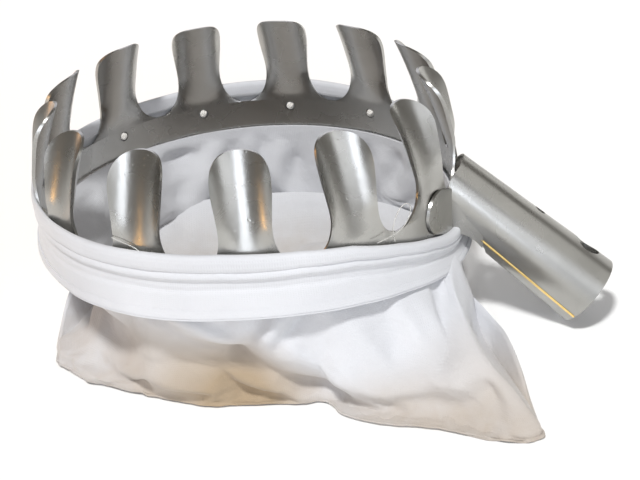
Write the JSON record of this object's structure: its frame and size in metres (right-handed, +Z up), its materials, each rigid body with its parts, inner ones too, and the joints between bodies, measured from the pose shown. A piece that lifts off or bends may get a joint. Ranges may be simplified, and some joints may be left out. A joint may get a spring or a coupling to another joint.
{
  "type": "fruit picker basket",
  "caption": "Fruit picker head for a pole: a ring of curved steel teeth over a lashed cotton catching bag, with a tapered tube socket set aslant at the side.",
  "frame": {"origin": "on the ring's axis, in the plane that the bag's base rests on", "axes": "+Z up the ring's axis towards the tooth tips; +X from the ring's axis towards the pole socket, which points outwards and down; +Y completes the right-handed set"},
  "size_m": [0.2238, 0.1729, 0.1],
  "materials": {
    "ring_steel": "satin galvanised",
    "socket_steel": "satin galvanised",
    "cuff_cotton": "woven",
    "bag_cotton": "woven",
    "lashing_thread": "twisted",
    "nylon_thread": "clear"
  },
  "bodies": {
    "root": {"toothed_ring": "ring_steel", "pole_socket": "socket_steel", "cuff_rolled_hem": "cuff_cotton", "cuff_facing": "cuff_cotton", "bag_front_panel": "bag_cotton", "bag_back_panel": "bag_cotton", "lashing_knots": "lashing_thread", "thread_loop": "nylon_thread", "thread_tail": "nylon_thread"}
  },
  "joints": []
}
